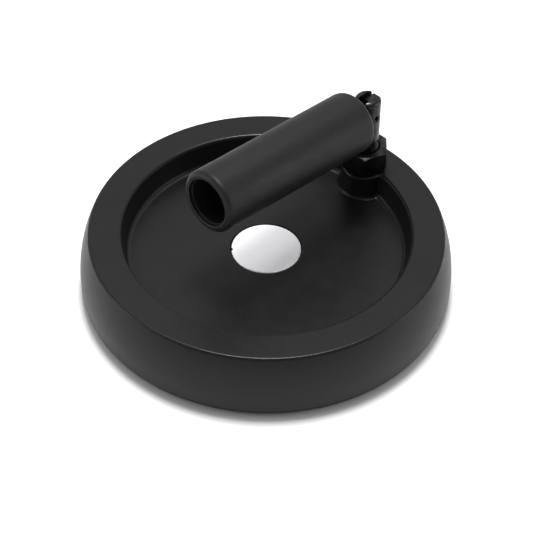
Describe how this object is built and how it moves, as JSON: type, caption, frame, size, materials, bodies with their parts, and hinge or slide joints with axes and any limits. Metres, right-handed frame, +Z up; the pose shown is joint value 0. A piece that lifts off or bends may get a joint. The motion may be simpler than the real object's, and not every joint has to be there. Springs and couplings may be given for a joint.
{
  "type": "fold-away handle handwheel",
  "caption": "Solid-disc handwheel with a dished web, a deep rim, a capped hub bore and a fold-away revolving grip on a slotted post.",
  "frame": {"origin": "on the wheel's axis, in the plane of the hub's back face and the rim's lower edge", "axes": "+Z up the wheel's axis to the dished side, +X from the axis to the handle boss; the folded handle lies in the XZ plane"},
  "size_m": [0.16, 0.16, 0.0811],
  "materials": {
    "moulded_wheel": "matte black, finely textured moulding",
    "moulded_grip": "matte black, finely textured moulding",
    "black_steel": "black oxide, lightly oiled",
    "bright_steel": "ground bright",
    "cap_aluminium": "satin anodised, natural",
    "bush_plastic": "dark bearing plastic",
    "adhesive": "double-sided adhesive film"
  },
  "bodies": {
    "wheel": {"wheel_body": "moulded_wheel", "hub_bush": "black_steel", "hub_grub_screw": "black_steel", "cap_adhesive": "adhesive", "hub_cap": "cap_aluminium", "boss_insert": "bright_steel", "lock_washer": "black_steel", "lock_nut": "black_steel", "hinge_post": "black_steel", "pivot_pin": "black_steel", "pivot_washers": "bush_plastic", "detent_ball": "bright_steel", "detent_spring": "bright_steel"},
    "handle": {"handle_spindle": "black_steel", "retaining_washer": "bright_steel", "retaining_screw": "black_steel", "thrust_washer": "bush_plastic"},
    "grip": {"grip": "moulded_grip", "front_bush": "bush_plastic", "rear_bush": "bush_plastic"}
  },
  "joints": [
    {"name": "handle_fold", "type": "hinge", "parent": "wheel", "child": "handle", "pos_m": [0.0605, 0, 0.0607], "axis": [0, 1, 0], "range_deg": [0, 85.8]},
    {"name": "grip_spin", "type": "hinge", "parent": "handle", "child": "grip", "pos_m": [0.0605, 0, 0.0607], "axis": [-0.9973, 0, 0.0732], "continuous": true}
  ]
}
